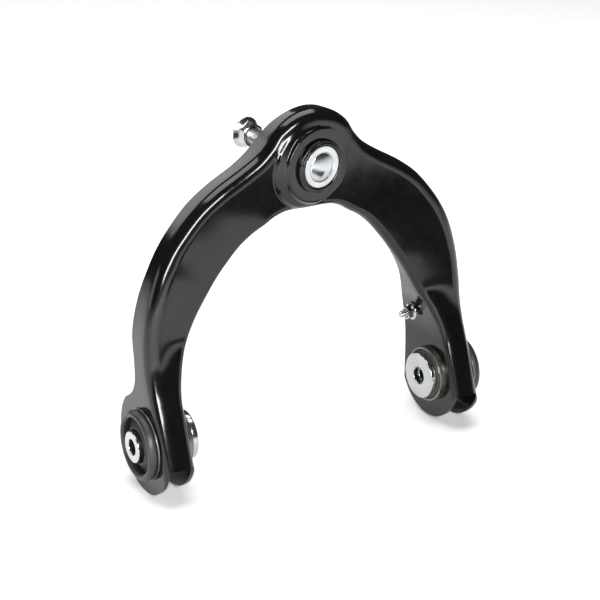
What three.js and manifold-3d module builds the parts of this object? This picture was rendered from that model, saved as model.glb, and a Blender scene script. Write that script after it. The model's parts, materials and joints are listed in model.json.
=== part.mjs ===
// Upper control arm of a car's front suspension: a pressed-steel horseshoe with a rubber bush in each
// leg and a ball joint at the crown.
// Units are millimetres. X runs along the pivot axis through both bushes, Y points to the side that the
// ball stud leaves from, Z is up, and the origin is on the pivot axis midway between the bushes.
import * as THREE from "three";
import { LoftGeometry } from "three/addons/geometries/LoftGeometry.js";
import { mergeVertices } from "three/addons/utils/BufferGeometryUtils.js";
import Module from "manifold-3d";

const wasm = await Module();
wasm.setup();

// ---- Driving dimensions ----

const GAP = 0.3; // clearance left between neighbouring solids

const BUSH_SPACING = 256; // centre to centre of the two bushes
const LEG_WIDTH = 24; // outside of one leg, across its two flanges
const LEG_OFFSET = 1.5; // the leg's middle lies this far outboard of the bush's middle
const SHEET = 3; // thickness of the pressed steel
const BENDS = [9, 7]; // outside radius between the web and the outer flange, and the inner flange
const EAR_RADII = [39.5, 37.5]; // round ends of a leg's outer and inner flange
const EAR_SHIFT = 2; // depth of the ears' centre
const WEB_END = -9; // height where the web stops and the two ears go on alone
const OUTER_NECK = 28; // height where an outer ear runs into its flange

const HUMP_RADIUS = 42; // round crown over the ball joint
const HUMP_HEIGHT = 196; // height of the crown's centre
const ARCH_HEIGHT = 160.5; // underside of the crown

const BALL = new THREE.Vector3(0, 1, 196.5); // centre of the ball
const STUD_AXIS = new THREE.Vector3(-0.155, 0.983, 0.094).normalize(); // from the ball to the stud's tip
const BALL_RADIUS = 12.5;
const BOSS_FACE = -13; // front face of the crown's boss, measured along the stud axis from the ball
const BOSS_RADIUS = 29;
const BOSS_BASE_RADIUS = 35;
const HOUSING_RADIUS = 20.5;
const DISC_RADIUS = 16; // closing disc
const DISC_FACE = -16.5;

const THREAD_RADIUS = 6; // M12 ball stud
const STUD_END = 76.5;
const STUD_NUT = { across: 18, flange: 12.5, start: 65, hexEnd: 72.5, end: 75.5 };

const CAN_RADIUS = 22.7; // outer steel tube of a bush
const CAN_WALL = 2;
const SLEEVE_RADIUS = 12; // inner steel tube of a bush
const SLEEVE_BORE = 6.15; // clears an M12 bolt
const WASHER_RADIUS = 18.85;
const WASHER_BORE = 7.1;

const BRACKET_BASE = new THREE.Vector3(114, 20, 49); // where the M6 stud comes out of the inner flange
const BRACKET_DROOP = 5; // degrees below the horizontal
const BRACKET_THREAD = 3;
const BRACKET_END = 14;
const BRACKET_NUT = { across: 10, flange: 7.1, start: 2, flangeEnd: 3.4, end: 8.5 };

const ROUND = 32; // sides of a large round piece
const SMALL_ROUND = 24;

// ---- Materials ----

function material(color, roughness, metalness) {
  return () => new THREE.MeshStandardMaterial({ color, roughness, metalness });
}

const blackPaint = material(0x0b0b0c, 0.25, 0.2);
const blackRubber = material(0x141414, 0.7, 0);
const darkSteel = material(0x3a3835, 0.45, 0.9);
const brightZinc = material(0xc8ccd0, 0.3, 1);
const racePlastic = material(0xe6e2d6, 0.5, 0);
const springSteel = material(0x6b6a66, 0.4, 1);

// ---- Solids and booleans ----

function solidOf(geometry) {
  const bare = new THREE.BufferGeometry().setAttribute("position", geometry.attributes.position);
  bare.setIndex(geometry.index);
  const merged = mergeVertices(bare, 1e-4);
  const mesh = new wasm.Mesh({
    numProp: 3,
    vertProperties: merged.attributes.position.array,
    triVerts: new Uint32Array(merged.index.array),
  });
  return new wasm.Manifold(mesh);
}

function geometryOf(solid) {
  const mesh = solid.getMesh();
  const geometry = new THREE.BufferGeometry();
  geometry.setAttribute("position", new THREE.BufferAttribute(mesh.vertProperties, 3));
  geometry.setIndex(new THREE.BufferAttribute(mesh.triVerts, 1));
  geometry.computeVertexNormals();
  return geometry;
}

function named(name, geometry, makeMaterial) {
  const mesh = new THREE.Mesh(geometry, makeMaterial());
  mesh.name = name;
  return mesh;
}

// A solid turned about +Y. Its [radius, height] points run anticlockwise round a ring's section, or up
// from one end of the axis to the other.
function turned(points, sides = ROUND) {
  const onAxis = points[0][0] === 0;
  const outline = onAxis ? points : [...points, points[0]];
  return new THREE.LatheGeometry(
    outline.map(([radius, height]) => new THREE.Vector2(radius, height)),
    sides,
  );
}

// Points on an arc of a turned profile, with the angle measured from the outward radius.
function arcPoints(centreHeight, radius, fromDegrees, toDegrees, steps, centreRadius = 0) {
  return Array.from({ length: steps + 1 }, (_, i) => {
    const angle = THREE.MathUtils.degToRad(fromDegrees + ((toDegrees - fromDegrees) * i) / steps);
    return [centreRadius + radius * Math.cos(angle), centreHeight + radius * Math.sin(angle)];
  });
}

// A flanged hexagon nut along +Y, bored for its thread. The flange is at the far end when `flangeLast`.
function flangedNut({ across, flange, bore, from, to, flangeHeight, flangeLast }) {
  const corner = across / 2 / Math.cos(Math.PI / 6);
  const chamfer = (corner - across / 2) / 2;
  const rounding = turned(
    [
      [0, from],
      [corner - chamfer, from],
      [corner, from + chamfer],
      [corner, to - chamfer],
      [corner - chamfer, to],
      [0, to],
    ],
    SMALL_ROUND,
  );
  const base = flangeLast ? to : from;
  const inwards = flangeLast ? -1 : 1;
  const skirt = [
    [0, base],
    [flange - 0.5, base],
    [flange, base + inwards * 0.5],
    [flange, base + inwards * 1],
    [corner, base + inwards * flangeHeight],
    [0, base + inwards * flangeHeight],
  ];
  const prism = new THREE.CylinderGeometry(corner, corner, to - from, 6).translate(0, (from + to) / 2, 0);
  const hole = new THREE.CylinderGeometry(bore, bore, to - from + 2, SMALL_ROUND);
  const body = solidOf(prism).intersect(solidOf(rounding));
  const flanged = body.add(solidOf(turned(flangeLast ? skirt.reverse() : skirt, SMALL_ROUND)));
  return geometryOf(flanged.subtract(solidOf(hole.translate(0, (from + to) / 2, 0))));
}

// ---- Arm stamping ----

// Half of the arm from the crown to the foot of the right leg. Each station joins a point on the outer
// edge to its partner on the inner edge: [x, z] of both, then the depth (y) of the web's front and of
// the flange's free edge, outer before inner.
function humpPoint(degrees) {
  const angle = THREE.MathUtils.degToRad(degrees);
  return [HUMP_RADIUS * Math.sin(angle), HUMP_HEIGHT + HUMP_RADIUS * Math.cos(angle)];
}

const LEG_CENTRE = BUSH_SPACING / 2 + LEG_OFFSET;
const OUTSIDE = LEG_CENTRE + LEG_WIDTH / 2;
const INSIDE = LEG_CENTRE - LEG_WIDTH / 2;

const STATIONS = [
  { outer: humpPoint(0), inner: [0, ARCH_HEIGHT], front: [-13, -4.5], rear: [5.5, 8] },
  { outer: humpPoint(22), inner: [7, ARCH_HEIGHT], front: [-13, -4.5], rear: [5.5, 8] },
  { outer: humpPoint(44), inner: [14, ARCH_HEIGHT], front: [-12, -4.5], rear: [9, 8] },
  { outer: humpPoint(63), inner: [21.5, 159.8], front: [-11, -4.5], rear: [13.5, 8] },
  { outer: [45.5, 207], inner: [29.5, 156.8], front: [-10, -4], rear: [14, 7.5] },
  { outer: [57.5, 199.3], inner: [37, 152.2], front: [-9.5, -3.5], rear: [12.5, 7] },
  { outer: [80, 187], inner: [47, 146.5], front: [-9.5, -2.5], rear: [12, 7] },
  { outer: [96, 175.5], inner: [57, 138.5], front: [-9.5, -1.2], rear: [12, 7.5] },
  { outer: [110.5, 160], inner: [68.5, 126], front: [-9.5, -0.3], rear: [12, 8] },
  { outer: [120.5, 146.5], inner: [77, 115.5], front: [-9.5, 0], rear: [12, 9] },
  { outer: [128, 132], inner: [85, 104.5], front: [-10, -0.5], rear: [12.5, 11.5] },
  { outer: [135.5, 109], inner: [95, 89], front: [-10, -1], rear: [16, 17] },
  { outer: [140.2, 83], inner: [104, 72.5], front: [-10, -3.5], rear: [17.5, 26] },
  { outer: [141.2, 62], inner: [110.5, 60], front: [-12, -10], rear: [14, 33.5] },
  { outer: [OUTSIDE, 46], inner: [115.5, 45], front: [-16.5, -17], rear: [13.5, 37.5] },
  { outer: [OUTSIDE, 36], inner: [117.2, 36], front: [-20.5, -21], rear: [18.5, 38] },
  { outer: [OUTSIDE, 30], inner: [INSIDE, 30], front: [-23, -23.5], rear: [26, 37.5] },
  { outer: [OUTSIDE, 24], inner: [INSIDE, 24], front: [-25.5, -25.8], rear: [36, 37] },
  { outer: [OUTSIDE, 12], inner: [INSIDE, 12], front: [-30, -30], rear: [52, 36.5] },
  { outer: [OUTSIDE, -8], inner: [INSIDE, -8], front: [-37, -37], rear: [60, 36.5] },
  { outer: [OUTSIDE, -44], inner: [INSIDE, -44], front: [-49, -49], rear: [60, 36.5] },
];

const SAMPLES_PER_STATION = 2;
const BEND_STEPS = 4;

function edgeCurves(side) {
  const mirrored = STATIONS.slice(1)
    .reverse()
    .map((station) => ({ ...station, x: -1 }));
  const all = [...mirrored, ...STATIONS.map((station) => ({ ...station, x: 1 }))];
  const edge = side === 0 ? "outer" : "inner";
  const front = all.map((s) => new THREE.Vector3(s.x * s[edge][0], s.front[side], s[edge][1]));
  const rear = all.map((s) => new THREE.Vector3(s.x * s[edge][0], s.rear[side], s[edge][1]));
  return { front: new THREE.CatmullRomCurve3(front), rear: new THREE.CatmullRomCurve3(rear) };
}

// One bent edge of the channel, from the flange's free edge to the web: its outside skin, or with an
// inset its inside skin. `inward` points across the arm, and the web leans by `tilt` radians there.
function edgePoints(front, rearDepth, inward, tilt, bend, inset) {
  const radius = bend - inset;
  const centre = front.clone().addScaledVector(inward, bend);
  centre.y += bend;
  const at = (across, depth) => centre.clone().addScaledVector(inward, across).setY(centre.y + depth);
  const flangeTip = at(-radius, 0).setY(rearDepth);
  const round = Array.from({ length: BEND_STEPS + 1 }, (_, i) => {
    const angle = ((Math.PI / 2 + tilt) * i) / BEND_STEPS;
    return at(-radius * Math.cos(angle), -radius * Math.sin(angle));
  });
  return [flangeTip, ...round];
}

function channelSection(curves, t) {
  const [outer, inner] = curves.map((curve) => curve.front.getPoint(t));
  const tilt = Math.atan2(inner.y - outer.y, Math.hypot(inner.x - outer.x, inner.z - outer.z));
  const skins = [0, SHEET].map((inset) => {
    const edges = curves.map((curve, side) => {
      const along = curve.front.getTangent(t);
      const sign = side === 0 ? 1 : -1;
      const inward = new THREE.Vector3(-along.z, 0, along.x).normalize().multiplyScalar(-sign);
      const rearDepth = curve.rear.getPoint(t).y;
      return edgePoints([outer, inner][side], rearDepth, inward, sign * tilt, BENDS[side], inset);
    });
    return [...edges[0], ...edges[1].reverse()];
  });
  return [...skins[0], ...skins[1].reverse()];
}

function channelLoft() {
  const curves = [edgeCurves(0), edgeCurves(1)];
  const steps = (2 * STATIONS.length - 2) * SAMPLES_PER_STATION;
  const sections = Array.from({ length: steps + 1 }, (_, i) => channelSection(curves, i / steps));
  return new LoftGeometry(sections, { closed: true, capStart: true, capEnd: true });
}

function block(fromX, toX, fromY, toY, fromZ, toZ) {
  return new THREE.BoxGeometry(toX - fromX, toY - fromY, toZ - fromZ).translate(
    (fromX + toX) / 2,
    (fromY + toY) / 2,
    (fromZ + toZ) / 2,
  );
}

const FAR = 90; // a reach beyond the leg in every direction, for cutters

// What lies outside an ear, from its neck round the foot to the end of the web, over a span of x.
function earCutter(neckHeight, radius, fromX, toX) {
  const below = solidOf(block(fromX, toX, -FAR, FAR, -FAR, neckHeight));
  const ear = solidOf(alongX(radius, fromX - 1, toX + 1).translate(0, EAR_SHIFT, 0));
  const web = solidOf(block(fromX - 1, toX + 1, -FAR - 1, EAR_SHIFT, WEB_END, neckHeight + 1));
  return below.subtract(ear).subtract(web);
}

function alongX(radius, fromX, toX) {
  return new THREE.CylinderGeometry(radius, radius, toX - fromX, ROUND)
    .rotateZ(Math.PI / 2)
    .translate((fromX + toX) / 2, 0, 0);
}

function inBallFrame(geometry) {
  return geometry.applyMatrix4(ballJoint.matrix);
}

// The boss that stands the ball joint square to its stud, as the full cone and as the hollow behind it.
function bossOutside() {
  return turned([
    [0, BOSS_FACE],
    [BOSS_RADIUS, BOSS_FACE],
    [BOSS_RADIUS + 1.5, BOSS_FACE + 2],
    [BOSS_BASE_RADIUS, BOSS_FACE + 6],
    [BOSS_BASE_RADIUS, 4],
    [0, 4],
  ]);
}

function bossInside() {
  const back = 20;
  return turned([
    [0, BOSS_FACE + SHEET],
    [BOSS_RADIUS - SHEET + 0.5, BOSS_FACE + SHEET],
    [BOSS_RADIUS - SHEET + 2, BOSS_FACE + SHEET + 2],
    [BOSS_BASE_RADIUS - SHEET, BOSS_FACE + SHEET + 6],
    [BOSS_BASE_RADIUS - SHEET, back],
    [0, back],
  ]);
}

// Everything in front of the middle of the crown's sheet.
function inFrontOfCrown() {
  const lean = Math.atan2(STATIONS[0].front[1] - STATIONS[0].front[0], humpPoint(0)[1] - ARCH_HEIGHT);
  const size = 120;
  return new THREE.BoxGeometry(size, size, size)
    .translate(0, -size / 2 + SHEET / 2, 0)
    .rotateX(lean)
    .translate(0, (STATIONS[0].front[0] + STATIONS[0].front[1]) / 2, (humpPoint(0)[1] + ARCH_HEIGHT) / 2);
}

function armStamping() {
  const boss = solidOf(inBallFrame(bossOutside())).intersect(solidOf(inFrontOfCrown()));
  const holeRadius = HOUSING_RADIUS + GAP;
  const housingHole = new THREE.CylinderGeometry(holeRadius, holeRadius, 60, ROUND);
  let arm = solidOf(channelLoft()).add(boss).subtract(solidOf(inBallFrame(bossInside())));
  arm = arm.subtract(solidOf(inBallFrame(housingHole)));
  for (const side of [-1, 1]) {
    const span = (from, to) => [side * from, side * to].sort((a, b) => a - b);
    arm = arm.subtract(earCutter(OUTER_NECK, EAR_RADII[0], ...span(LEG_CENTRE, LEG_CENTRE + LEG_WIDTH)));
    arm = arm.subtract(earCutter(0, EAR_RADII[1], ...span(LEG_CENTRE - LEG_WIDTH, LEG_CENTRE)));
    const betweenEars = block(...span(INSIDE + SHEET, OUTSIDE - SHEET), -FAR, FAR, -FAR, WEB_END);
    arm = arm.subtract(solidOf(betweenEars));
    const bushHole = alongX(CAN_RADIUS + GAP, ...span(LEG_CENTRE - LEG_WIDTH, LEG_CENTRE + LEG_WIDTH));
    arm = arm.subtract(solidOf(bushHole));
  }
  const studHole = new THREE.CylinderGeometry(BRACKET_THREAD + GAP, BRACKET_THREAD + GAP, 14, SMALL_ROUND);
  arm = arm.subtract(solidOf(studHole.applyMatrix4(bracket.matrix)));
  return named("arm_stamping", geometryOf(arm), blackPaint);
}

// ---- Bushes: heights run outboard along the pivot axis from the middle of the bush ----

const BUSH = {
  inboardFace: -22, // outer face of the large washer
  washerBack: -17.5,
  canInboard: -16,
  earFace: LEG_OFFSET + LEG_WIDTH / 2,
  canFlange: 27.6,
  lipFace: 21.8,
  sleeveFace: 24,
};

function bushCan() {
  const inner = CAN_RADIUS - CAN_WALL;
  const flangeBack = BUSH.earFace + GAP;
  const flangeFront = flangeBack + 1.5;
  return turned([
    [inner, BUSH.canInboard + 0.6],
    [inner + 0.6, BUSH.canInboard],
    [CAN_RADIUS - 0.6, BUSH.canInboard],
    [CAN_RADIUS, BUSH.canInboard + 0.6],
    [CAN_RADIUS, flangeBack],
    [BUSH.canFlange, flangeBack],
    [BUSH.canFlange, flangeFront],
    [inner, flangeFront],
  ]);
}

// The moulded lip that bears on the vehicle's bracket.
function bushLip() {
  const back = BUSH.earFace + 2.1;
  return turned([
    [21.6, back],
    [27.2, back],
    [27.2, back + 2.4],
    [25.9, BUSH.lipFace - 0.8],
    [25.1, BUSH.lipFace],
    [22.4, BUSH.lipFace],
    [21.6, BUSH.lipFace - 0.8],
  ]);
}

function bushRubber() {
  const inner = SLEEVE_RADIUS + GAP;
  const outer = CAN_RADIUS - CAN_WALL - GAP;
  return turned([
    [inner, BUSH.washerBack + 0.4],
    [outer - 2, BUSH.washerBack + 0.4],
    [outer, BUSH.canInboard + 0.4],
    [outer, BUSH.earFace + 1.5],
    [outer - 2.5, BUSH.earFace + 2.5],
    [inner + 3, BUSH.sleeveFace - 5.5],
    [inner, BUSH.sleeveFace - 3.5],
  ]);
}

function bushSleeve() {
  const back = BUSH.washerBack + GAP;
  return turned([
    [SLEEVE_BORE, back],
    [SLEEVE_RADIUS, back],
    [SLEEVE_RADIUS, BUSH.sleeveFace - 0.8],
    [SLEEVE_RADIUS - 0.8, BUSH.sleeveFace],
    [SLEEVE_BORE + 0.8, BUSH.sleeveFace],
    [SLEEVE_BORE, BUSH.sleeveFace - 0.8],
  ]);
}

function bushWasher() {
  return turned([
    [WASHER_BORE + 0.6, BUSH.inboardFace],
    [WASHER_RADIUS - 0.6, BUSH.inboardFace],
    [WASHER_RADIUS, BUSH.inboardFace + 0.6],
    [WASHER_RADIUS, BUSH.washerBack - 0.4],
    [WASHER_RADIUS - 0.4, BUSH.washerBack],
    [WASHER_BORE, BUSH.washerBack],
    [WASHER_BORE, BUSH.inboardFace + 0.6],
  ]);
}

function bush(name, side) {
  const group = new THREE.Group();
  group.position.x = (side * BUSH_SPACING) / 2;
  group.rotation.z = (-side * Math.PI) / 2;
  group.add(
    named(`${name}_bush_can`, bushCan(), darkSteel),
    named(`${name}_bush_lip`, bushLip(), blackRubber),
    named(`${name}_bush_rubber`, bushRubber(), blackRubber),
    named(`${name}_bush_sleeve`, bushSleeve(), brightZinc),
    named(`${name}_bush_washer`, bushWasher(), brightZinc),
  );
  return group;
}

// ---- Ball joint: heights run along the stud from the ball's centre ----

const RACE_RADIUS = 14.7;
const MOUTH = { radius: 13, back: 10 }; // the housing's opening round the stud

function ballHousing() {
  const lip = -17.3;
  const shoulder = 23.2;
  return turned([
    [DISC_RADIUS + GAP, lip],
    [HOUSING_RADIUS - 1, lip],
    [HOUSING_RADIUS, lip + 1],
    [HOUSING_RADIUS, BOSS_FACE + SHEET + GAP],
    [shoulder, BOSS_FACE + SHEET + GAP],
    [shoulder, BOSS_FACE + SHEET + 4],
    [HOUSING_RADIUS, BOSS_FACE + SHEET + 4],
    [HOUSING_RADIUS, MOUTH.back - 1.5],
    [HOUSING_RADIUS - 1.5, MOUTH.back],
    [MOUTH.radius, MOUTH.back],
    [MOUTH.radius, MOUTH.back - 1.7],
    [RACE_RADIUS + GAP, MOUTH.back - 1.7],
    [RACE_RADIUS + GAP, DISC_FACE + 2 + GAP],
    [DISC_RADIUS + GAP, DISC_FACE + 2 + GAP],
  ]);
}

function closingDisc() {
  const back = DISC_FACE + 2;
  return turned([
    [0, DISC_FACE - 0.75],
    [3.5, DISC_FACE - 0.68],
    [7, DISC_FACE - 0.45],
    [10.4, DISC_FACE],
    [10.9, DISC_FACE + 0.35],
    [11.4, DISC_FACE],
    [DISC_RADIUS - 0.3, DISC_FACE],
    [DISC_RADIUS, DISC_FACE + 0.3],
    [DISC_RADIUS, back],
    [0, back],
  ]);
}

function preloadWasher() {
  return turned([
    [7, -14.2],
    [RACE_RADIUS - 0.4, -14.2],
    [RACE_RADIUS - 0.4, -13.5],
    [7, -13.5],
  ]);
}

function ballRace() {
  const socket = BALL_RADIUS + GAP;
  return turned([
    [6, -13.2],
    [RACE_RADIUS, -13.2],
    [RACE_RADIUS, 8],
    [12.9, 8],
    ...arcPoints(0, socket, 24, -62, 8),
  ]);
}

function ballStud() {
  const neck = 6.2;
  const seat = 8.8;
  return turned(
    [
      [0, -BALL_RADIUS + 0.4],
      ...arcPoints(0, BALL_RADIUS, -74, 60, 9),
      [neck, 26],
      [seat, 29],
      [seat, 33],
      [7.6, 50],
      [THREAD_RADIUS - 0.7, 51],
      [THREAD_RADIUS, 52],
      [THREAD_RADIUS, STUD_END - 1],
      [THREAD_RADIUS - 1, STUD_END],
      [0, STUD_END],
    ],
    SMALL_ROUND,
  );
}

// One convolution of rubber between the housing and the seat on the stud.
function dustBoot() {
  return turned([
    [HOUSING_RADIUS + GAP, 2.5],
    [22.6, 2.5],
    [22.6, 8],
    [24.6, 12],
    [26.4, 16.5],
    [26, 21],
    [22.5, 25.5],
    [16, 28.5],
    [11, 30],
    [11, 33.2],
    [9.1, 33.2],
    [9.1, 29.5],
    [15, 26.8],
    [21, 24],
    [24.1, 20.2],
    [24.4, 16.8],
    [22.8, 12.8],
    [HOUSING_RADIUS + GAP, 8.4],
  ]);
}

function wireRing(radius, height) {
  return new THREE.TorusGeometry(radius, 0.8, 6, ROUND).rotateX(Math.PI / 2).translate(0, height, 0);
}

const ballJoint = new THREE.Group();
ballJoint.position.copy(BALL);
ballJoint.quaternion.setFromUnitVectors(new THREE.Vector3(0, 1, 0), STUD_AXIS);
ballJoint.updateMatrix();

function fillBallJoint() {
  const nut = flangedNut({
    across: STUD_NUT.across,
    flange: STUD_NUT.flange,
    bore: THREAD_RADIUS + GAP,
    from: STUD_NUT.start,
    to: STUD_NUT.end,
    flangeHeight: STUD_NUT.end - STUD_NUT.hexEnd,
    flangeLast: true,
  });
  ballJoint.add(
    named("ball_joint_housing", ballHousing(), blackPaint),
    named("closing_disc", closingDisc(), brightZinc),
    named("preload_washer", preloadWasher(), springSteel),
    named("ball_race", ballRace(), racePlastic),
    named("ball_stud", ballStud(), brightZinc),
    named("dust_boot", dustBoot(), blackRubber),
    named("boot_large_ring", wireRing(23.8, 5.5), springSteel),
    named("boot_small_ring", wireRing(12.2, 31.6), springSteel),
    named("stud_nut", nut, brightZinc),
  );
}

// ---- Bracket stud on the right leg: heights run along the stud from the flange's face ----

const bracket = new THREE.Group();
bracket.position.copy(BRACKET_BASE);
bracket.rotation.z = Math.PI / 2;
bracket.rotation.order = "YXZ";
bracket.rotation.y = -THREE.MathUtils.degToRad(BRACKET_DROOP);
bracket.updateMatrix();

function bracketStud() {
  const headTop = -5;
  return turned(
    [
      [0, headTop - 2],
      [5.5, headTop - 2],
      [5.5, headTop],
      [BRACKET_THREAD, headTop],
      [BRACKET_THREAD, BRACKET_END - 0.8],
      [BRACKET_THREAD - 0.8, BRACKET_END],
      [0, BRACKET_END],
    ],
    SMALL_ROUND,
  );
}

function fillBracket() {
  const nut = flangedNut({
    across: BRACKET_NUT.across,
    flange: BRACKET_NUT.flange,
    bore: BRACKET_THREAD + GAP,
    from: BRACKET_NUT.start,
    to: BRACKET_NUT.end,
    flangeHeight: BRACKET_NUT.flangeEnd - BRACKET_NUT.start,
    flangeLast: false,
  });
  bracket.add(named("bracket_stud", bracketStud(), brightZinc), named("bracket_nut", nut, brightZinc));
}

// ---- The whole arm ----

fillBallJoint();
fillBracket();

const arm = new THREE.Group();
arm.add(armStamping(), ballJoint, bush("left", -1), bush("right", 1), bracket);

export default arm;
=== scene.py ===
"""Looks of an upper control arm: gloss black stamping, zinc hardware, two rubber bushes, a ball joint."""
import json
import math

import bmesh
import bpy
import numpy as np
from mathutils import Matrix, Vector


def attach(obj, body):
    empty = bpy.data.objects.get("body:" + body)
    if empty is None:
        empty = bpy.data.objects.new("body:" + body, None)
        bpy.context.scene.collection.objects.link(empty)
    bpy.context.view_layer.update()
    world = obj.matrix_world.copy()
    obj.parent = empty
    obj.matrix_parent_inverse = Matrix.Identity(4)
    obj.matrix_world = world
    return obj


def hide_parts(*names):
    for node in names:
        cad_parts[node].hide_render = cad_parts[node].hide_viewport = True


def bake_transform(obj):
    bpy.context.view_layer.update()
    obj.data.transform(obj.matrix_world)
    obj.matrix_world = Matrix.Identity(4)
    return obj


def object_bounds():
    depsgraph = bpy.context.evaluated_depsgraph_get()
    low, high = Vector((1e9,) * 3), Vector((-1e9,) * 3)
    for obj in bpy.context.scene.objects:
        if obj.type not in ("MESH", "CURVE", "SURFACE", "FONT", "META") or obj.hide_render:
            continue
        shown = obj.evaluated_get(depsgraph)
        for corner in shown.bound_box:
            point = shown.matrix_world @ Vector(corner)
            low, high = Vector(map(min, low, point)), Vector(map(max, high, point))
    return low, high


MM = 0.001
ROUND = 128  # sides of a turned piece
ON_AXIS = 1e-6  # radius below which a point of an outline counts as lying on the turning axis
PIVOT_HALF_SPACING = 128.0
CAMERA_AZIMUTH = math.radians(-31)
CAMERA_ELEVATION = math.radians(20.6)

with open("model.json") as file:
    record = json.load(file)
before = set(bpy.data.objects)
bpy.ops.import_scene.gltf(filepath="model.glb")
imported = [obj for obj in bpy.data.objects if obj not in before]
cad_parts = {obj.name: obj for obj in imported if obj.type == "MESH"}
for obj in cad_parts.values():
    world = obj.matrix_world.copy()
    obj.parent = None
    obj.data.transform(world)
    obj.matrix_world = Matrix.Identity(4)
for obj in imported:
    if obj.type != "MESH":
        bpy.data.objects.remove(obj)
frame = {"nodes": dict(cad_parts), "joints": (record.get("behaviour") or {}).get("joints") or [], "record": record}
start_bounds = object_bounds()

JOINTS = {joint["name"]: joint for joint in frame["joints"]}


# ---- Measuring the frame ----

class Axis:
    """A line in the row frame, in millimetres, with a matrix that turns +Z onto it."""

    def __init__(self, origin, direction):
        self.origin = Vector(origin)
        self.direction = Vector(direction).normalized()
        turn = self.direction.to_track_quat("Z", "Y").to_matrix().to_4x4()
        self.matrix = Matrix.Translation(self.origin) @ turn

    def measure(self, node):
        """(lowest height, highest height, smallest radius, largest radius) of a CAD node."""
        inverse = self.matrix.inverted()
        points = [inverse @ (vertex.co / MM) for vertex in frame["nodes"][node].data.vertices]
        heights = [point.z for point in points]
        radii = [math.hypot(point.x, point.y) for point in points]
        return min(heights), max(heights), min(radii), max(radii)


def joint_axis(name):
    joint = JOINTS[name]
    return Axis(Vector(joint["pos_m"]) / MM, joint["axis"])


STUD_AXIS = joint_axis("stud_spin")


# ---- Mesh building, in millimetres ----

def mesh_piece(name, points, faces, matrix=None, smooth_angle=35):
    """An object from points in millimetres, shaded smooth except across edges sharper than the angle."""
    mesh = bpy.data.meshes.new(name)
    placed = [(matrix @ Vector(p) if matrix else Vector(p)) * MM for p in points]
    mesh.from_pydata([tuple(p) for p in placed], [], faces)
    mesh.update()
    obj = bpy.data.objects.new(name, mesh)
    bpy.context.collection.objects.link(obj)
    tidy_normals(obj)
    shade(obj, smooth_angle)
    return obj


def tidy_normals(obj):
    work = bmesh.new()
    work.from_mesh(obj.data)
    bmesh.ops.remove_doubles(work, verts=work.verts, dist=1e-6)
    bmesh.ops.recalc_face_normals(work, faces=work.faces)
    work.to_mesh(obj.data)
    work.free()


def shade(obj, angle):
    obj.data.shade_smooth()
    obj.data.set_sharp_from_angle(angle=math.radians(angle))


def rounded(corners, radius, steps=5):
    """A closed [radius, height] outline with its corners rounded; points on the turning axis stay put."""
    outline = []
    count = len(corners)
    for i, corner in enumerate(corners):
        here = np.array(corner, float)
        before = np.array(corners[i - 1], float) - here
        after = np.array(corners[(i + 1) % count], float) - here
        if here[0] < ON_AXIS:
            outline.append(tuple(here))
            continue
        reach = min(radius, 0.45 * np.linalg.norm(before), 0.45 * np.linalg.norm(after))
        first = here + before / np.linalg.norm(before) * reach
        last = here + after / np.linalg.norm(after) * reach
        for step in range(steps + 1):
            t = step / steps
            point = (1 - t) ** 2 * first + 2 * t * (1 - t) * here + t ** 2 * last
            outline.append(tuple(point))
    return outline


def turned(name, corners, axis, rounding=0.4, sides=ROUND):
    """A solid of revolution about an axis from its closed [radius, height] outline."""
    outline = rounded(corners, rounding)
    on_axis = [r < ON_AXIS for r, _ in outline]
    rings = len(outline)
    points = []
    for side in range(sides):
        angle = 2 * math.pi * side / sides
        points += [(r * math.cos(angle), r * math.sin(angle), h) for r, h in outline]
    faces = []
    for side in range(sides):
        here, there = side * rings, ((side + 1) % sides) * rings
        for ring in range(rings):
            following = (ring + 1) % rings
            if on_axis[ring] and on_axis[following]:
                continue
            faces.append((here + ring, here + following, there + following, there + ring))
    return mesh_piece(name, points, [without_repeats(f, on_axis, rings) for f in faces], axis.matrix)


def without_repeats(face, on_axis, rings):
    """Collapses the corners of a face that lie together on the axis onto the first side's point."""
    kept = []
    for corner in face:
        moved = corner % rings if on_axis[corner % rings] else corner
        if moved not in kept:
            kept.append(moved)
    return tuple(kept)


def swept_rings(name, rings, axis, smooth_angle=35, closed=True):
    """A solid from rings of points of equal count: joined one to the next, and the last to the first."""
    sides = len(rings[0])
    points = [point for ring in rings for point in ring]
    faces = []
    spans = len(rings) if closed else len(rings) - 1
    for i in range(spans):
        low, high = i * sides, ((i + 1) % len(rings)) * sides
        for side in range(sides):
            after = (side + 1) % sides
            faces.append((low + side, low + after, high + after, high + side))
    if not closed:
        faces.append(tuple(range(sides)))
        faces.append(tuple((len(rings) - 1) * sides + side for side in range(sides)))
    return mesh_piece(name, points, faces, axis.matrix, smooth_angle)


def ring_at(height, radius_at, sides):
    """Points of one ring, whose radius is a number or a function of the angle."""
    ring = []
    for side in range(sides):
        angle = 2 * math.pi * side / sides
        radius = radius_at(angle) if callable(radius_at) else radius_at
        ring.append((radius * math.cos(angle), radius * math.sin(angle), height))
    return ring


RINGS_PER_TURN = 14  # rings along one pitch of a thread


def thread_depth(height, angle, pitch):
    """How far below the crest a 60 degree thread is, from 0 to 1, with flats at crest and root."""
    phase = (height / pitch - angle / (2 * math.pi)) % 1.0
    return min(1.0, max(0.0, (abs(phase - 0.5) * 2 - 0.12) / 0.72))


def combine(obj, other, operation):
    """Boolean of two objects, kept in the first; the second is deleted."""
    modifier = obj.modifiers.new("combine", "BOOLEAN")
    modifier.operation = operation
    modifier.solver = "EXACT"
    modifier.object = other
    evaluated = obj.evaluated_get(bpy.context.evaluated_depsgraph_get())
    result = bpy.data.meshes.new_from_object(evaluated)
    obj.modifiers.clear()
    obj.data = result
    bpy.data.objects.remove(other)


def cut(obj, cutter):
    combine(obj, cutter, "DIFFERENCE")


# ---- Materials ----

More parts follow.
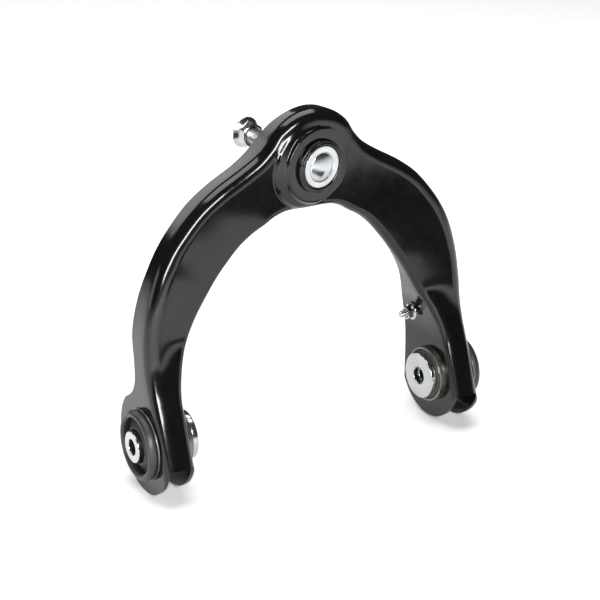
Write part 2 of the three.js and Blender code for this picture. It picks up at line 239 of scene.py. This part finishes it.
def new_material(name):
    material = bpy.data.materials.new(name)
    material.use_nodes = True
    nodes = material.node_tree.nodes
    return material, nodes, material.node_tree.links, nodes["Principled BSDF"]


def object_noise(nodes, links, scale, detail=4.0, stretch=(1, 1, 1)):
    """A noise texture in object coordinates, stretched for a grain; its value runs from 0 to 1."""
    place = nodes.new("ShaderNodeTexCoord")
    mapping = nodes.new("ShaderNodeMapping")
    mapping.inputs["Scale"].default_value = stretch
    noise = nodes.new("ShaderNodeTexNoise")
    noise.inputs["Scale"].default_value = scale
    noise.inputs["Detail"].default_value = detail
    links.new(place.outputs["Object"], mapping.inputs["Vector"])
    links.new(mapping.outputs["Vector"], noise.inputs["Vector"])
    return noise


def ramp(nodes, links, source, low, high, low_value, high_value):
    """Maps a 0 to 1 value between two stops onto two grey levels or colours."""
    node = nodes.new("ShaderNodeValToRGB")
    first, last = node.color_ramp.elements
    first.position, last.position = low, high
    first.color = grey(low_value)
    last.color = grey(high_value)
    links.new(source, node.inputs["Fac"])
    return node.outputs["Color"]


def grey(value):
    return (*value, 1) if isinstance(value, tuple) else (value, value, value, 1)


def bump(nodes, links, shader, height, strength, distance):
    node = nodes.new("ShaderNodeBump")
    node.inputs["Strength"].default_value = strength
    node.inputs["Distance"].default_value = distance
    links.new(height, node.inputs["Height"])
    links.new(node.outputs["Normal"], shader.inputs["Normal"])


def finish_material(name, dark, light, rough, metallic, grain, bump_size, stretch=(1, 1, 1)):
    """Colour that wanders between two tones, roughness that wanders with it, and a fine bump."""
    material, nodes, links, shader = new_material(name)
    patches = object_noise(nodes, links, 60)
    tone = ramp(nodes, links, patches.outputs["Fac"], 0.35, 0.7, dark, light)
    links.new(tone, shader.inputs["Base Color"])
    wear = object_noise(nodes, links, 220, stretch=stretch)
    polish = ramp(nodes, links, wear.outputs["Fac"], 0.3, 0.75, *rough)
    links.new(polish, shader.inputs["Roughness"])
    fine = object_noise(nodes, links, grain, stretch=stretch)
    bump(nodes, links, shader, fine.outputs["Fac"], 0.25, bump_size)
    shader.inputs["Metallic"].default_value = metallic
    return material, shader


def make_black_paint():
    material, shader = finish_material(
        "black_paint", (0.0016, 0.0016, 0.0017), (0.0035, 0.0034, 0.0033), (0.12, 0.17), 0, 900, 0.00001)
    shader.inputs["Specular IOR Level"].default_value = 0.4
    return material


def make_rubber():
    return finish_material(
        "black_rubber", (0.012, 0.012, 0.012), (0.024, 0.023, 0.022), (0.5, 0.68), 0, 1500, 0.00008)[0]


def make_lip_rubber():
    return finish_material(
        "lip_rubber", (0.01, 0.01, 0.0095), (0.022, 0.021, 0.02), (0.38, 0.5), 0, 1200, 0.00005)[0]


def make_dark_steel():
    return finish_material(
        "dark_steel", (0.13, 0.12, 0.11), (0.24, 0.23, 0.21), (0.3, 0.48), 1, 900, 0.00004)[0]


def make_zinc():
    return finish_material(
        "bright_zinc", (0.42, 0.44, 0.45), (0.5, 0.51, 0.515), (0.15, 0.22), 1, 1500, 0.000004)[0]


def make_worn_zinc():
    return finish_material(
        "worn_zinc", (0.3, 0.3, 0.295), (0.5, 0.5, 0.49), (0.25, 0.42), 1, 1400, 0.00004)[0]


def make_spring_steel():
    return finish_material(
        "spring_steel", (0.28, 0.28, 0.27), (0.42, 0.42, 0.4), (0.3, 0.45), 1, 900, 0.00003)[0]


def make_race_plastic():
    return finish_material(
        "race_plastic", (0.72, 0.7, 0.62), (0.82, 0.8, 0.73), (0.4, 0.55), 0, 900, 0.00004)[0]


MATERIALS = {
    "black_paint": make_black_paint(),
    "black_rubber": make_rubber(),
    "lip_rubber": make_lip_rubber(),
    "dark_steel": make_dark_steel(),
    "bright_zinc": make_zinc(),
    "worn_zinc": make_worn_zinc(),
    "spring_steel": make_spring_steel(),
    "race_plastic": make_race_plastic(),
}


def dress(obj, finish, body, slot_name, *nodes):
    """Gives a piece its material, its body and the CAD nodes that it stands for; the slot name is not used."""
    obj.data.materials.clear()
    obj.data.materials.append(MATERIALS[finish])
    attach(obj, body)
    if nodes:
        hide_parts(*nodes)


# ---- Arm stamping ----

# Half of the arm from the crown to the foot of the right leg, as in the CAD: [x, z] on the outer and
# the inner edge, then the depths of the web's front and of the flanges' free edges, outer before inner.
HUMP_RADIUS = 42.0
HUMP_HEIGHT = 196.0
ARCH_HEIGHT = 160.5
EAR_SHIFT = 2.0
WEB_END = -9.0
OUTER_NECK = 28.0
SHEET = 3.0
BENDS = (9.0, 7.0)
EAR_RADII = (39.5, 37.5)
OUTSIDE = 141.5
INSIDE = 117.5
BOSS_FACE = -13.0
BOSS_RADIUS = 29.0
BOSS_BASE_RADIUS = 35.0
BUSH_HOLE_RADIUS = 23.0
HOUSING_HOLE_RADIUS = 20.8
BOSS_REACH = BOSS_BASE_RADIUS + 14  # beyond this from the stud's axis the boss has no effect
FAR_FROM_BOSS = 1e3


def hump_point(degrees):
    angle = math.radians(degrees)
    return (HUMP_RADIUS * math.sin(angle), HUMP_HEIGHT + HUMP_RADIUS * math.cos(angle))


STATIONS = [
    (hump_point(0), (0, ARCH_HEIGHT), (-13, -4.5), (5.5, 8)),
    (hump_point(22), (7, ARCH_HEIGHT), (-13, -4.5), (5.5, 8)),
    (hump_point(44), (14, ARCH_HEIGHT), (-12, -4.5), (9, 8)),
    (hump_point(63), (21.5, 159.8), (-11, -4.5), (13.5, 8)),
    ((45.5, 207), (29.5, 156.8), (-10, -4), (14, 7.5)),
    ((57.5, 199.3), (37, 152.2), (-9.5, -3.5), (12.5, 7)),
    ((80, 187), (47, 146.5), (-9.5, -2.5), (12, 7)),
    ((96, 175.5), (57, 138.5), (-9.5, -1.2), (12, 7.5)),
    ((110.5, 160), (68.5, 126), (-9.5, -0.3), (12, 8)),
    ((120.5, 146.5), (77, 115.5), (-9.5, 0), (12, 9)),
    ((128, 132), (85, 104.5), (-10, -0.5), (12.5, 11.5)),
    ((135.5, 109), (95, 89), (-10, -1), (16, 17)),
    ((140.2, 83), (104, 72.5), (-10, -3.5), (17.5, 26)),
    ((141.2, 62), (110.5, 60), (-12, -10), (14, 33.5)),
    ((OUTSIDE, 46), (115.5, 45), (-16.5, -17), (13.5, 37.5)),
    ((OUTSIDE, 36), (117.2, 36), (-20.5, -21), (18.5, 38)),
    ((OUTSIDE, 30), (INSIDE, 30), (-23, -23.5), (26, 37.5)),
    ((OUTSIDE, 24), (INSIDE, 24), (-25.5, -25.8), (36, 37)),
    ((OUTSIDE, 12), (INSIDE, 12), (-30, -30), (52, 36.5)),
    ((OUTSIDE, -8), (INSIDE, -8), (-37, -37), (60, 36.5)),
    ((OUTSIDE, -44), (INSIDE, -44), (-49, -49), (60, 36.5)),
]

HUMP_SPANS = 6  # station gaps each side of the crown that carry the boss
HUMP_SAMPLES = 26  # sections in each of those gaps
LEG_SAMPLES = 8
WEB_SAMPLES = 74  # points across the web
BEND_STEPS = 9
TIP_CORNER = 0.5  # rounding of a flange's free edge
BOSS_BLEND = 1.2  # how softly the boss runs out into the web


def catmull_rom(points, t):
    """Point and direction on a centripetal curve through the points, with t counted in points."""
    index = min(int(t), len(points) - 2)
    p1, p2 = points[index], points[index + 1]
    p0 = points[index - 1] if index > 0 else 2 * p1 - p2
    p3 = points[index + 2] if index + 2 < len(points) else 2 * p2 - p1
    gaps = [max(np.linalg.norm(b - a) ** 0.5, 1e-4) for a, b in ((p0, p1), (p1, p2), (p2, p3))]
    m1 = ((p1 - p0) / gaps[0] - (p2 - p0) / (gaps[0] + gaps[1]) + (p2 - p1) / gaps[1]) * gaps[1]
    m2 = ((p2 - p1) / gaps[1] - (p3 - p1) / (gaps[1] + gaps[2]) + (p3 - p2) / gaps[2]) * gaps[1]
    u = t - index
    point = (
        p1 + m1 * u + (3 * (p2 - p1) - 2 * m1 - m2) * u ** 2 + (2 * (p1 - p2) + m1 + m2) * u ** 3
    )
    slope = m1 + 2 * (3 * (p2 - p1) - 2 * m1 - m2) * u + 3 * (2 * (p1 - p2) + m1 + m2) * u ** 2
    return point, slope / np.linalg.norm(slope)


def edge_tracks(side):
    """The web edge and the flange's free edge along the whole arm, left foot to right foot."""
    whole = [(-1, station) for station in STATIONS[:0:-1]] + [(1, station) for station in STATIONS]
    front = [np.array([s * st[side][0], st[2][side], st[side][1]], float) for s, st in whole]
    rear = [np.array([s * st[side][0], st[3][side], st[side][1]], float) for s, st in whole]
    return front, rear


def section_places():
    """Where along the arm the sections lie, close together on the crown."""
    last = len(STATIONS) - 1
    places = []
    for gap in range(2 * last):
        near_crown = abs(gap + 0.5 - last) < HUMP_SPANS
        samples = HUMP_SAMPLES if near_crown else LEG_SAMPLES
        places += [gap + i / samples for i in range(samples)]
    return places + [2 * last - 1e-6]


def bent_edge(front, rear_depth, inward, tilt, bend, inset):
    """From a flange's free edge round to the web, on the outside skin or, with an inset, the inside."""
    radius = bend - inset
    centre = front + inward * bend + np.array([0, bend, 0])
    skin = (centre - inward * radius) * [1, 0, 1]
    into_sheet = inward * TIP_CORNER * (1 if inset == 0 else -1)
    shoulder_depth = rear_depth - TIP_CORNER
    tip = [skin + into_sheet * [1, 0, 1] + [0, rear_depth, 0], skin + [0, shoulder_depth, 0]]
    straight = [skin + [0, centre[1] + (shoulder_depth - centre[1]) * share, 0] for share in (0.66, 0.33)]
    bent = []
    for step in range(BEND_STEPS + 1):
        angle = (math.pi / 2 + tilt) * step / BEND_STEPS
        offset = -radius * math.cos(angle) * inward + np.array([0, -radius * math.sin(angle), 0])
        bent.append(centre + offset)
    return tip + straight + bent


BOSS_PROFILE = (
    [0, BOSS_RADIUS - 0.7, BOSS_RADIUS, BOSS_RADIUS + 0.6, BOSS_RADIUS + 1.2, BOSS_RADIUS + 2.2,
     BOSS_BASE_RADIUS - 0.6, BOSS_BASE_RADIUS + 1, BOSS_REACH],
    [0, 0, 0.4, 1.7, 2.7, 3.2, 4.6, 7, 40],
)


def boss_depth(points, inset):
    """Depth of the boss's skin in front of each point, or a large value outside the boss."""
    axis = np.array(STUD_AXIS.direction)
    ball = np.array(STUD_AXIS.origin)
    face = BOSS_FACE + inset
    sideways = (points[:, 0] - ball[0]) * axis[0] + (points[:, 2] - ball[2]) * axis[2]
    depth = ball[1] + (face - sideways) / axis[1]
    for _ in range(3):
        offset = np.stack([points[:, 0], depth, points[:, 2]], 1) - ball
        along = offset @ axis
        radius = np.linalg.norm(offset - along[:, None] * axis, axis=1)
        fall = np.interp(radius + inset * 0.7, *BOSS_PROFILE)
        depth = ball[1] + (face + fall - sideways) / axis[1]
    return np.where(radius < BOSS_REACH, depth, FAR_FROM_BOSS)


def soft_least(a, b, blend):
    """The lesser of two depths, rounded where they cross."""
    mix = np.clip(0.5 + 0.5 * (b - a) / blend, 0, 1)
    return b * (1 - mix) + a * mix - blend * mix * (1 - mix)


def boss_share(edge_count, web_count):
    """How much of the boss's height each point takes: all on the web, fading out round the bends."""
    fade = [max(0.0, (i - edge_count + BEND_STEPS + 1) / BEND_STEPS) for i in range(edge_count)]
    fade = [t * t * (3 - 2 * t) for t in fade]
    return np.array(fade + [1.0] * web_count + fade[::-1])


def stamping_mesh():
    """The sections of the arm, each a closed ring: the outer skin, then the inner skin back again."""
    tracks = [edge_tracks(0), edge_tracks(1)]
    rows = []
    for place in section_places():
        ends = [catmull_rom(front, place) for front, _ in tracks]
        (outer, _), (inner, _) = ends
        tilt = math.atan2(inner[1] - outer[1], math.hypot(inner[0] - outer[0], inner[2] - outer[2]))
        row = []
        for inset in (0, SHEET):
            edges = []
            for side in (0, 1):
                sign = 1 if side == 0 else -1
                direction = ends[side][1]
                inward = np.array([-direction[2], 0, direction[0]])
                inward *= -sign / np.linalg.norm(inward)
                rear_depth = catmull_rom(tracks[side][1], place)[0][1]
                edge = bent_edge(ends[side][0], rear_depth, inward, sign * tilt, BENDS[side], inset)
                edges.append(edge)
            across = [edges[0][-1] + (edges[1][-1] - edges[0][-1]) * i / WEB_SAMPLES
                      for i in range(1, WEB_SAMPLES)]
            skin = np.array(edges[0] + across + edges[1][::-1])
            share = boss_share(len(edges[0]), len(across))
            raised = soft_least(skin[:, 1], boss_depth(skin, inset), BOSS_BLEND)
            skin[:, 1] += share * (raised - skin[:, 1])
            row.append(skin)
        rows.append(np.concatenate([row[0], row[1][::-1]]))
    return rows


def prism(name, outline, from_x, to_x):
    """A cutter: a closed (y, z) outline drawn out along X."""
    count = len(outline)
    points = [(x, y, z) for x in (from_x, to_x) for y, z in outline]
    faces = [tuple(range(count)), tuple(range(2 * count - 1, count - 1, -1))]
    faces += [(i, (i + 1) % count, count + (i + 1) % count, count + i) for i in range(count)]
    return mesh_piece(name, points, faces)


FAR = 90  # past the arm in depth and below its feet
PAST_SLEEVES = 160  # past the outboard end of the sleeves
BETWEEN_LEGS = 100  # inboard of the legs
EAR_STEPS = 60
BUSH_HOLE_STEPS = 120


def ear_outline(radius, neck):
    """Everything outside an ear, from its neck round the foot to where the web stops."""
    start = math.asin(neck / radius)
    end = math.pi + math.asin(-WEB_END / radius)
    arc = []
    sweep = start + (2 * math.pi - end)
    for i in range(EAR_STEPS + 1):
        angle = start - sweep * i / EAR_STEPS
        arc.append((EAR_SHIFT + radius * math.cos(angle), radius * math.sin(angle)))
    return [(FAR, neck), *arc, (-FAR, WEB_END), (-FAR, -FAR), (FAR, -FAR)]


def bush_hole_outline():
    angles = [math.radians(360 * i / BUSH_HOLE_STEPS) for i in range(BUSH_HOLE_STEPS)]
    return [(BUSH_HOLE_RADIUS * math.cos(a), BUSH_HOLE_RADIUS * math.sin(a)) for a in angles]


def build_stamping():
    row_frame = Axis((0, 0, 0), (0, 0, 1))
    row_frame.matrix = Matrix.Identity(4)
    arm = swept_rings("stamping", stamping_mesh(), row_frame, closed=False)
    middle = (OUTSIDE + INSIDE) / 2
    outer_ear = ear_outline(EAR_RADII[0], OUTER_NECK)
    inner_ear = ear_outline(EAR_RADII[1], 0.0)
    between_ears = [(-FAR, -FAR), (FAR, -FAR), (FAR, WEB_END), (-FAR, WEB_END)]
    for side in (-1, 1):
        cut(arm, prism("outer_ear_cutter", outer_ear, side * middle, side * PAST_SLEEVES))
        cut(arm, prism("inner_ear_cutter", inner_ear, side * BETWEEN_LEGS, side * middle))
        cut(arm, prism("web_end_cutter", between_ears, side * (INSIDE + SHEET), side * (OUTSIDE - SHEET)))
        cut(arm, prism("bush_hole", bush_hole_outline(), side * BETWEEN_LEGS, side * PAST_SLEEVES))
    plug = [(0, -40), (HOUSING_HOLE_RADIUS, -40), (HOUSING_HOLE_RADIUS, 30), (0, 30)]
    cut(arm, turned("housing_hole", plug, STUD_AXIS, rounding=0))
    shade(arm, 40)
    dress(arm, "black_paint", "arm", "black_paint", "arm_stamping")


BUSH_NAMES = {-1: "left", 1: "right"}
BUSH_AXES = {side: Axis((side * PIVOT_HALF_SPACING, 0, 0), (side, 0, 0)) for side in (-1, 1)}


# ---- Bushes ----

def build_bush(side):
    name, axis = BUSH_NAMES[side], BUSH_AXES[side]
    body = name + "_sleeve"
    build_can(name, axis)
    build_lip(name, axis)
    build_bush_rubber(name, axis)
    build_sleeve(name, axis, body)
    build_washer(name, axis, body)


def build_can(name, axis):
    back, front, inner, flange = axis.measure(name + "_bush_can")
    tube = inner + 2
    ear = front - 1.5
    can = turned(name + "_can", [(inner, back), (tube, back), (tube, ear), (flange, ear), (flange, front),
                                 (inner, front)], axis, 0.5)
    dress(can, "dark_steel", "arm", "dark_steel", name + "_bush_can")


def build_lip(name, axis):
    back, front, inner, outer = axis.measure(name + "_bush_lip")
    corners = [(inner, back), (outer - 0.3, back), (outer, back + 2.4), (outer - 0.7, front - 1.6),
               (outer - 2, front), (inner + 1.4, front), (inner, front - 1.4)]
    lip = turned(name + "_lip", corners, axis, 1.2)
    dress(lip, "lip_rubber", "arm", "black_rubber", name + "_bush_lip")


def build_bush_rubber(name, axis):
    back, front, inner, outer = axis.measure(name + "_bush_rubber")
    corners = [(inner, back), (outer - 2, back), (outer, back + 1.6), (outer, front - 5.5),
               (outer - 2.5, front - 4), (inner + 3.2, front - 2), (inner + 0.8, front)]
    rubber = turned(name + "_rubber", corners, axis, 1.6)
    dress(rubber, "black_rubber", "arm", "black_rubber", name + "_bush_rubber")


def build_sleeve(name, axis, body):
    back, front, bore, outer = axis.measure(name + "_bush_sleeve")
    corners = [(bore, back), (outer, back), (outer, front), (bore, front)]
    sleeve = turned(name + "_sleeve_tube", corners, axis, 0.8)
    dress(sleeve, "bright_zinc", body, "bright_zinc", name + "_bush_sleeve")


def build_washer(name, axis, body):
    face, back, bore, outer = axis.measure(name + "_bush_washer")
    corners = [(bore, face), (outer, face), (outer, back), (bore, back)]
    washer = turned(name + "_washer", corners, axis, 0.7)
    dress(washer, "bright_zinc", body, "bright_zinc", name + "_bush_washer")


# ---- Ball joint ----

def build_housing():
    front, back, _, shoulder = STUD_AXIS.measure("ball_joint_housing")
    body = shoulder - 2.7
    disc = STUD_AXIS.measure("closing_disc")[3] + 0.3
    race = STUD_AXIS.measure("ball_race")[3] + 0.3
    collar = BOSS_FACE + SHEET
    crimp = [(disc, front + 0.8), (disc + 0.9, front), (disc + 2, front + 0.25), (disc + 2.5, front + 1.1),
             (body - 1.1, front + 0.9), (body, front + 1.6)]
    flange = [(body, collar + 0.3), (shoulder, collar + 0.3), (shoulder, collar + 4), (body, collar + 4)]
    mouth, lip = 13, 1.7
    inside = [(body, back), (mouth, back), (mouth, back - lip), (race, back - lip), (race, front + 3.1),
              (disc, front + 3.1)]
    corners = crimp + flange + inside
    housing = turned("housing", corners, STUD_AXIS, 0.8)
    dress(housing, "black_paint", "arm", "black_paint", "ball_joint_housing")


def build_disc():
    crown, back, _, edge = STUD_AXIS.measure("closing_disc")
    face = crown + 0.75
    rise, dome_radius, steps = 2.0, 10.3, 12
    dome = [(dome_radius * i / steps, face - rise * (1 - (i / steps) ** 2)) for i in range(steps + 1)]
    groove = [(10.7, face + 0.4), (11.1, face + 0.4), (11.6, face)]
    corners = dome + groove + [(edge, face), (edge, back), (0, back)]
    disc = turned("disc", corners, STUD_AXIS, 0.3)
    dress(disc, "bright_zinc", "arm", "bright_zinc", "closing_disc")


def threaded_rings(start, end, radius, depth, pitch, sides, run_out=0.0):
    """Rings of a thread from one height to another; over the run-out it grows from the root."""
    steps = int((end - start) / pitch * RINGS_PER_TURN)
    rings = []
    for i in range(steps + 1):
        height = start + (end - start) * i / steps
        root = 1 - min(1, (height - start) / run_out) if run_out else 0.0

        def surface(angle):
            return radius - depth * max(thread_depth(height, angle, pitch), root)

        rings.append(ring_at(height, surface, sides))
    return rings


def build_stud():
    low, end, _, ball = STUD_AXIS.measure("ball_stud")
    sides = 96
    pitch = 1.75
    rings = [ring_at(low, math.sqrt(ball ** 2 - low ** 2), sides)]
    for i in range(1, 31):
        angle = math.radians(-74 + 134 * i / 30)
        rings.append(ring_at(ball * math.sin(angle), ball * math.cos(angle), sides))
    neck = [(13, 6.1), (26, 6.2), (28.4, 8.2), (29, 8.8)]
    taper = [(33, 8.8), (50, 7.6), (50.4, 6.6), (51, 5.1), (51.8, 5.1)]
    for height, radius in neck + taper:
        rings.append(ring_at(height, radius, sides))
    rings += threaded_rings(52, end - 1.2, 6.0, 0.92, pitch, sides, run_out=pitch)
    rings += [ring_at(end - 0.3, 5.0, sides), ring_at(end, 4.6, sides)]
    stud = swept_rings("stud", rings, STUD_AXIS, 38, closed=False)
    dress(stud, "worn_zinc", "stud", "bright_zinc", "ball_stud")


NUT_SIDES = 72


def flanged_nut(name, axis, node, across, flange_height, flange_last):
    """A hexagon with blunt corners and a chamfered end, on a coned flange, bored through."""
    low, high, bore, flange = axis.measure(node)
    half = across / 2
    corner = half / math.cos(math.pi / 6)
    chamfer = 0.09 * across
    base, top = (high, low) if flange_last else (low, high)
    way = 1 if top > base else -1

    def hexagon(angle):
        from_flat = (angle + math.pi / 6) % (math.pi / 3) - math.pi / 6
        return min(half / math.cos(from_flat), corner * 0.985)

    ends = [ring_at(low - 1, hexagon, NUT_SIDES), ring_at(high + 1, hexagon, NUT_SIDES)]
    nut = swept_rings(name, ends, axis, closed=False)
    start = base + way * 0.4
    barrel = [(0, start), (corner + 1, start), (corner + 1, top - way * chamfer * 1.25),
              (half * 0.96, top), (0, top)]
    combine(nut, turned("barrel", barrel, axis, 0), "INTERSECT")
    cone_end = base + way * (flange_height + 0.8)
    skirt = [(0, base), (flange - 0.3, base), (flange, base + way * 0.4), (flange - 0.1, base + way * 0.9),
             (half * 0.97, cone_end), (0, cone_end)]
    combine(nut, turned("skirt", skirt, axis, 0.2), "UNION")
    mouth = bore + 0.07 * across
    plug = [(0, low - 1), (mouth, low - 1), (mouth, low), (bore, low + 0.6),
            (bore, high - 0.6), (mouth, high), (mouth, high + 1), (0, high + 1)]
    cut(nut, turned("plug", plug, axis, 0))
    shade(nut, 20)
    return nut


def build_stud_nut():
    nut = flanged_nut("knuckle_nut", STUD_AXIS, "stud_nut", 18, 3.0, True)
    dress(nut, "bright_zinc", "stud", "bright_zinc", "stud_nut")


def build_boot():
    low, high, _, outer = STUD_AXIS.measure("dust_boot")
    neck_wall = 11
    middle = 18
    lower = [(HOUSING_HOLE_RADIUS, low), (22.6, low), (22.6, 8), (24.6, 12), (outer - 0.4, 15),
             (outer, middle), (outer - 2, middle), (24.2, 15.5), (22.8, 12.8), (HOUSING_HOLE_RADIUS, 8.4)]
    upper = [(outer - 2, middle), (outer, middle), (outer - 0.4, 21), (22.5, 25.5), (16, 28.5),
             (neck_wall, 30), (neck_wall, high), (9.1, high), (9.1, 29.5), (15, 26.8), (21, 24), (24, 20.6)]
    boot_half("boot_lower", lower)
    boot_half("boot_upper", upper)


def boot_half(name, corners):
    """Half of the boot, from one height along the stud to another; it is not attached to a body."""
    half = turned(name, corners, STUD_AXIS, 1.5)
    half.data.materials.append(MATERIALS["black_rubber"])
    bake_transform(half)
    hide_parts("dust_boot")


def build_boot_ring(name, node, body):
    low, high, inner, outer = STUD_AXIS.measure(node)
    wire = (outer - inner) / 2
    middle = (outer + inner) / 2
    centre = (low + high) / 2
    ring_sides = 20
    corners = [(middle + wire * math.cos(2 * math.pi * i / ring_sides),
                centre + wire * math.sin(2 * math.pi * i / ring_sides)) for i in range(ring_sides)]
    ring = turned(name, corners, STUD_AXIS, 0)
    dress(ring, "spring_steel", body, "spring_steel", node)


# ---- Bracket stud ----

NUT_END_HEIGHT = 8.5  # of the bracket nut's end face, above the leg
FACE_POINT_OFFSET = 4.2  # from the stud's axis to the point that the mount gives


def bracket_axis():
    """The M6 stud's axis, with heights from the face of the leg that it stands on."""
    mounts = {mount["name"]: mount for mount in frame["record"]["mounts"]}
    face = mounts["bracket_nut_end_face"]
    direction = Vector(face["axis"])
    beside_stud = Vector((0, FACE_POINT_OFFSET, 0))
    return Axis(Vector(face["pos_m"]) / MM - beside_stud - direction * NUT_END_HEIGHT, direction)


def build_bracket_stud():
    axis = bracket_axis()
    low, end, _, head = axis.measure("bracket_stud")
    sides = 72
    thread = 3.0
    rings = [ring_at(low, 4.6, sides), ring_at(low + 0.3, head, sides), ring_at(low + 1.7, head, sides),
             ring_at(low + 2, 5.0, sides), ring_at(low + 2, thread, sides), ring_at(0.5, thread, sides)]
    rings += threaded_rings(0.6, end - 0.9, thread, 0.55, 1.0, sides)
    rings += [ring_at(end - 0.3, 2.3, sides), ring_at(end, 2.0, sides)]
    stud = swept_rings("bracket_bolt", rings, axis, 38, closed=False)
    dress(stud, "bright_zinc", "arm", "bright_zinc", "bracket_stud")
    nut = flanged_nut("bracket_flange_nut", axis, "bracket_nut", 10, 1.4, False)
    dress(nut, "bright_zinc", "arm", "bright_zinc", "bracket_nut")


# ---- Pieces that keep their CAD shape ----

def dress_hidden_nodes():
    for node, finish in (("preload_washer", "spring_steel"), ("ball_race", "race_plastic")):
        obj = frame["nodes"][node]
        obj.data.materials.clear()
        obj.data.materials.append(MATERIALS[finish])


# ---- Studio ----

def build_floor():
    """A pale sheet, lit near the arm and glowing a little farther off, so it stays even to the edge."""
    low = start_bounds[0][2]
    size = 8
    mesh = bpy.data.meshes.new("floor")
    corners = [(-size, -size, low), (size, -size, low), (size, size, low), (-size, size, low)]
    mesh.from_pydata(corners, [], [(0, 1, 2, 3)])
    floor = bpy.data.objects.new("floor", mesh)
    bpy.context.collection.objects.link(floor)
    material, nodes, links, shader = new_material("floor_paper")
    tone = object_noise(nodes, links, 2.5)
    paper = ramp(nodes, links, tone.outputs["Fac"], 0.3, 0.7, 0.9, 0.93)
    links.new(paper, shader.inputs["Base Color"])
    shader.inputs["Roughness"].default_value = 0.8
    shader.inputs["Specular IOR Level"].default_value = 0.1
    place = nodes.new("ShaderNodeTexCoord")
    distance = nodes.new("ShaderNodeVectorMath")
    distance.operation = "LENGTH"
    links.new(place.outputs["Object"], distance.inputs[0])
    glow = ramp(nodes, links, distance.outputs["Value"], 0.14, 0.5, 0.0, 0.65)
    links.new(glow, shader.inputs["Emission Color"])
    shader.inputs["Emission Strength"].default_value = 1.0
    floor.data.materials.append(material)


def build_black_card():
    """A dark sheet beside the arm, out of the camera's sight, that only reflections show: it paints a dark
    reflection into the arm's glossy surfaces.
    """
    low = start_bounds[0][2] + MM
    ahead = Vector((-math.sin(CAMERA_AZIMUTH), math.cos(CAMERA_AZIMUTH), 0))
    across = Vector((ahead.y, -ahead.x, 0))
    reach = ((-0.4, 0.235), (-0.4, 0.385), (0.02, 0.385), (0.02, 0.235))
    corners = [ahead * a + across * b + Vector((0, 0, low)) for a, b in reach]
    mesh = bpy.data.meshes.new("black_card")
    mesh.from_pydata([tuple(corner) for corner in corners], [], [(0, 1, 2, 3)])
    card = bpy.data.objects.new("black_card", mesh)
    bpy.context.collection.objects.link(card)
    material, nodes, links, shader = new_material("black_card")
    # Painted reflection: this dark tone is what the glossy parts reflect from the card, standing in for dark
    # surroundings.
    tone = object_noise(nodes, links, 5)
    dark_reflection_tone = ramp(nodes, links, tone.outputs["Fac"], 0.3, 0.7, 0.01, 0.02)
    links.new(dark_reflection_tone, shader.inputs["Base Color"])
    shader.inputs["Roughness"].default_value = 1
    card.data.materials.append(material)
    card.visible_camera = False
    card.visible_diffuse = False
    card.visible_shadow = False


def aim(obj, target):
    direction = Vector(target) - obj.location
    obj.rotation_euler = direction.to_track_quat("-Z", "Y").to_euler()


def area_light(name, place, target, width, height, power, along=None):
    """A rectangular light that faces its target; its width runs as near to `along` as it can."""
    data = bpy.data.lights.new(name, "AREA")
    data.shape = "RECTANGLE"
    data.size, data.size_y = width, height
    data.energy = power
    light = bpy.data.objects.new(name, data)
    light.location = place
    light.visible_camera = False
    bpy.context.collection.objects.link(light)
    aim(light, target)
    if along:
        away = (light.location - Vector(target)).normalized()
        right = (Vector(along) - away * away.dot(along)).normalized()
        light.rotation_euler = Matrix((right, away.cross(right), away)).transposed().to_euler()


def build_lights():
    centre = (0, 0, 0.1)
    area_light("top_softbox", (0.0, 0.15, 1.6), centre, 1.5, 1.1, 26)
    area_light("line_strip", (-0.62, -1.2, 0.62), centre, 1.3, 0.2, 34, along=(0.69, -0.165, 0.373))
    area_light("back_softbox", (-0.3, 1.9, 1.3), centre, 1.6, 0.8, 10)
    area_light("left_card", (-0.8, 0.35, 0.2), (0, 0, 0.12), 0.4, 0.25, 0.6)
    world = bpy.data.worlds.new("studio")
    bpy.context.scene.world = world
    world.use_nodes = True
    background = world.node_tree.nodes["Background"]
    background.inputs["Color"].default_value = (1, 1, 1, 1)
    background.inputs["Strength"].default_value = 0.06


def build_camera():
    data = bpy.data.cameras.new("camera")
    data.lens, data.sensor_width = 90, 36
    camera = bpy.data.objects.new("camera", data)
    level = math.cos(CAMERA_ELEVATION)
    back = Vector((math.sin(CAMERA_AZIMUTH) * level, -math.cos(CAMERA_AZIMUTH) * level,
                   math.sin(CAMERA_ELEVATION)))
    camera.location = (-0.5589, -0.9181, 0.4906)
    camera.rotation_euler = back.to_track_quat("Z", "Y").to_euler()
    bpy.context.collection.objects.link(camera)
    bpy.context.scene.camera = camera


build_stamping()
for bush_side in (-1, 1):
    build_bush(bush_side)
build_housing()
build_disc()
build_stud()
build_stud_nut()
build_boot()
build_boot_ring("large_ring", "boot_large_ring", "arm")
build_boot_ring("small_ring", "boot_small_ring", "boot_neck")
build_bracket_stud()
dress_hidden_nodes()
build_floor()
build_black_card()
build_lights()
build_camera()
bpy.context.scene.view_settings.view_transform = "Standard"
